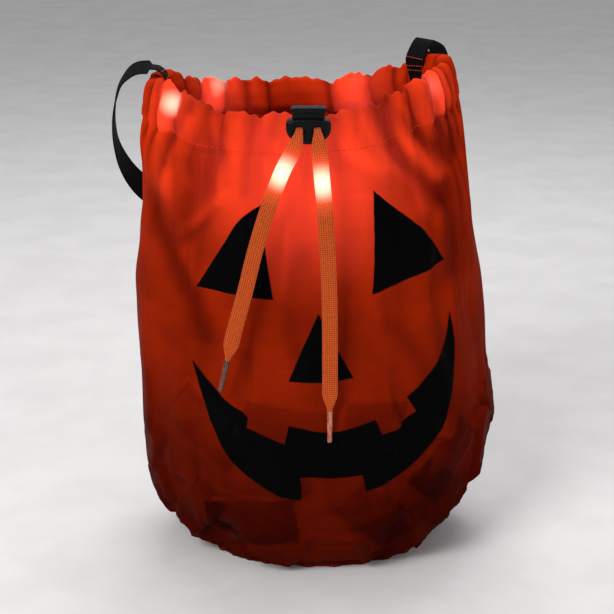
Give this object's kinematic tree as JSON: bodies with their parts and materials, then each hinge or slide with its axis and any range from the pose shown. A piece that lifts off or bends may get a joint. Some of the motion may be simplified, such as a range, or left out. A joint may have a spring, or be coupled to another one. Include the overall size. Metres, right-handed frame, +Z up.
{
  "type": "light-up drawstring treat bag",
  "caption": "Gathered cloth sack with a jack-o'-lantern face, a lit drawstring with a cord lock, and a webbing carry handle.",
  "frame": {"origin": "on the surface the bag stands on, under the middle of the mouth", "axes": "+Z up, -Y out of the printed front, +X to the right of someone facing the front"},
  "size_m": [0.2895, 0.2244, 0.3837],
  "materials": {
    "bag_cloth": "thin plain-woven polyester, soft sheen",
    "face_print": "matt black screen print on the cloth",
    "webbing": "ribbed woven nylon webbing",
    "lace": "knitted flat tubular lace",
    "aglet": "clear shrunk plastic film",
    "lock_plastic": "fine matt moulding",
    "spring_steel": "plated",
    "led": "clear resin, lit",
    "wire": "enamel",
    "lead": "flexible sleeve",
    "case_plastic": "fine matt moulding",
    "cell_steel": "nickel plated",
    "button": "soft matt",
    "board": "solder mask"
  },
  "bodies": {
    "bag": {"front_panel": "bag_cloth", "back_panel": "bag_cloth", "bottom_panel": "bag_cloth", "battery_pocket": "bag_cloth", "strap_end_left": "webbing", "strap_end_right": "webbing", "drawstring_lace": "lace", "led_front_left": "led", "led_back_left": "led", "led_back_right": "led", "led_front_right": "led", "led_wire_left": "wire", "led_wire_right": "wire", "battery_lead": "lead", "battery_case": "case_plastic", "circuit_board": "board", "tact_switch": "lock_plastic", "contact_plus": "spring_steel", "contact_minus": "spring_steel"},
    "handle": {"handle_strap": "webbing"},
    "lock": {"cord_lock_barrel": "lock_plastic", "cord_lock_spring": "spring_steel", "lace_tail_left": "lace", "lace_tail_right": "lace", "aglet_left": "aglet", "aglet_right": "aglet", "led_tail_left": "led", "led_tail_right": "led", "tail_wire_left": "wire", "tail_wire_right": "wire"},
    "plunger": {"cord_lock_plunger": "lock_plastic"},
    "tray": {"battery_tray": "case_plastic", "coin_cell_back": "cell_steel", "coin_cell_front": "cell_steel"},
    "screw": {"tray_screw": "spring_steel"},
    "button": {"push_button": "button"}
  },
  "joints": [
    {"name": "handle_swing", "type": "hinge", "parent": "bag", "child": "handle", "pos_m": [-0.011, 0.018, 0.374], "axis": [0.984, 0.1632, 0.072], "range_deg": [0, 146]},
    {"name": "cord_lock_slide", "type": "slide", "parent": "bag", "child": "lock", "axis": [0, -1, 0], "range_m": [0, 0.03]},
    {"name": "plunger_press", "type": "slide", "parent": "lock", "child": "plunger", "axis": [0, 0, -1], "range_m": [0, 0.0032], "stiffness_N_per_m": 900, "springref_m": -0.001, "deforming": ["cord_lock_spring"]},
    {"name": "battery_tray_slide", "type": "slide", "parent": "bag", "child": "tray", "axis": [0, -0.1659, 0.9861], "range_m": [0, 0.024]},
    {"name": "tray_screw_turn", "type": "hinge", "parent": "tray", "child": "screw", "pos_m": [0.01169, 0.0839, 0.28352], "axis": [0, -0.1659, 0.9861], "continuous": true},
    {"name": "button_press", "type": "slide", "parent": "bag", "child": "button", "axis": [0, 0.9861, 0.1659], "range_m": [0, 0.0006], "stiffness_N_per_m": 1500, "springref_m": -0.0003}
  ]
}
